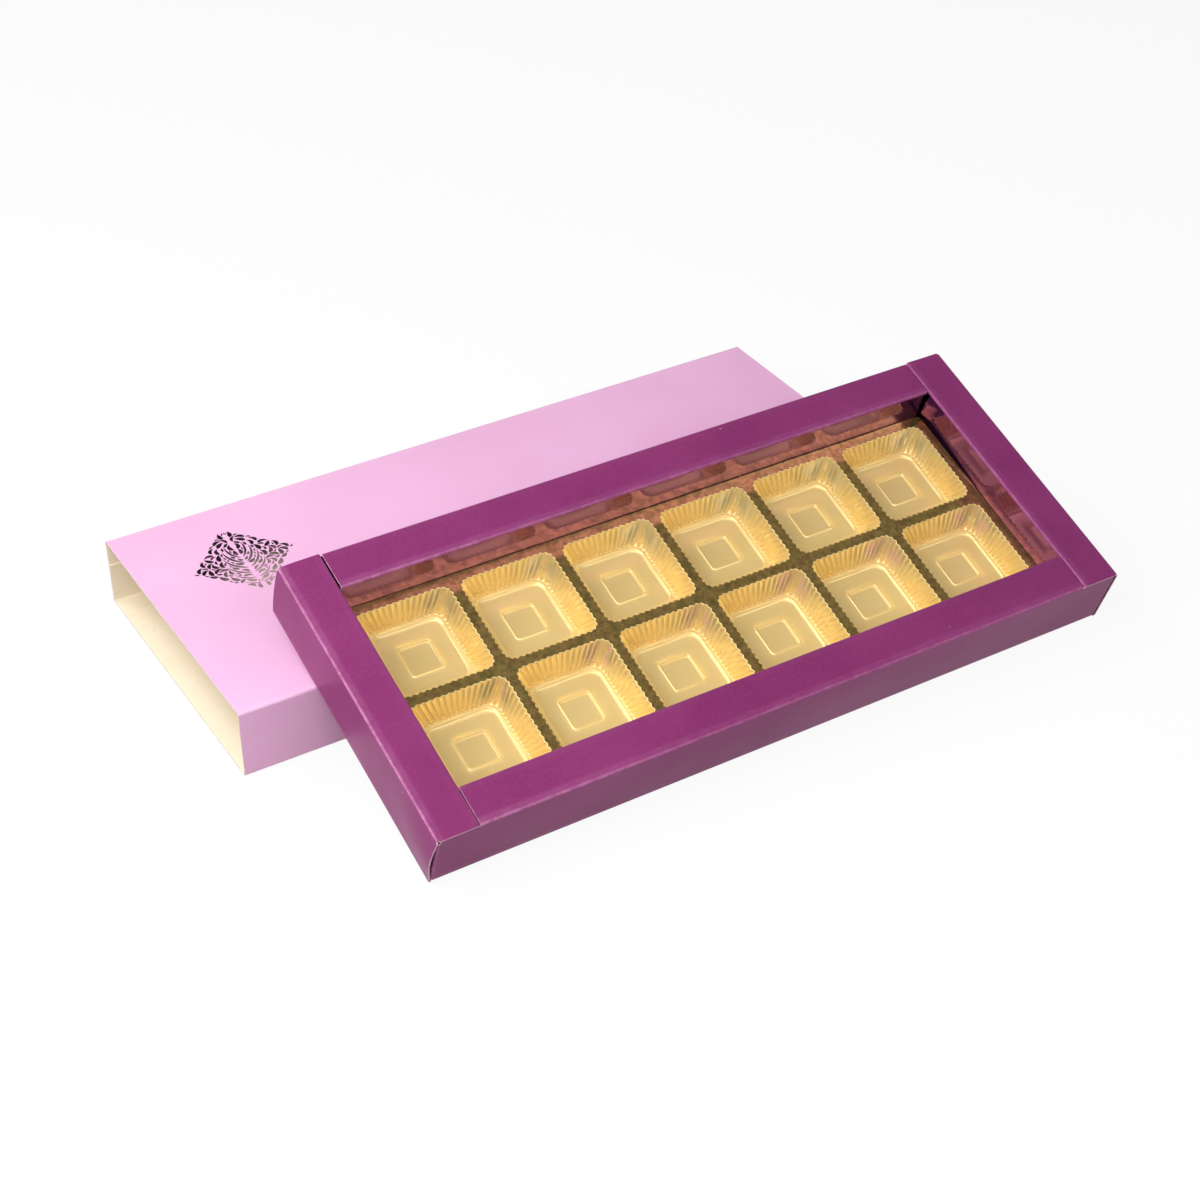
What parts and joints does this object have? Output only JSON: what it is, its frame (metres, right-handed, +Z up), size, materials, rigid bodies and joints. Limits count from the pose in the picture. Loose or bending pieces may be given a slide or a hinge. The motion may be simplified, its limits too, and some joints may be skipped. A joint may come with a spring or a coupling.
{
  "type": "chocolate box",
  "caption": "Framed paperboard chocolate box with a formed cup insert, taken out of its open-ended slide sleeve and leaning on it.",
  "frame": {"origin": "middle of the sleeve's underside, on the table", "axes": "+X along the sleeve, +Y away from the side that the box leans on, +Z up"},
  "size_m": [0.2642, 0.176, 0.0531],
  "materials": {
    "sleeve_board": "pink printed folding boxboard, satin, cream inside",
    "box_board": "purple film-laminated folding boxboard, satin",
    "insert_film": "thermoformed film metallised gold",
    "foil": "hot-stamped mirror foil"
  },
  "bodies": {
    "sleeve": {"sleeve_top_panel": "sleeve_board", "sleeve_front_panel": "sleeve_board", "sleeve_base_panel": "sleeve_board", "sleeve_back_panel": "sleeve_board", "sleeve_glue_flap": "sleeve_board", "foil_ornament": "foil"},
    "box": {"box_base_panel": "box_board", "front_outer_wall": "box_board", "front_top_strip": "box_board", "front_inner_wall": "box_board", "right_outer_wall": "box_board", "right_top_strip": "box_board", "right_inner_wall": "box_board", "back_outer_wall": "box_board", "back_top_strip": "box_board", "back_inner_wall": "box_board", "left_outer_wall": "box_board", "left_top_strip": "box_board", "left_inner_wall": "box_board", "front_left_corner_flap": "box_board", "front_right_corner_flap": "box_board", "back_left_corner_flap": "box_board", "back_right_corner_flap": "box_board"},
    "insert": {"gold_insert": "insert_film"}
  },
  "joints": [
    {"name": "box_slide", "type": "slide", "parent": "sleeve", "child": "box", "axis": [1, 0, 0], "range_m": [-0.0242, 0.2158]},
    {"name": "insert_lift", "type": "slide", "parent": "box", "child": "insert", "axis": [0, -0.3289, 0.9444], "range_m": [0, 0.025]}
  ]
}
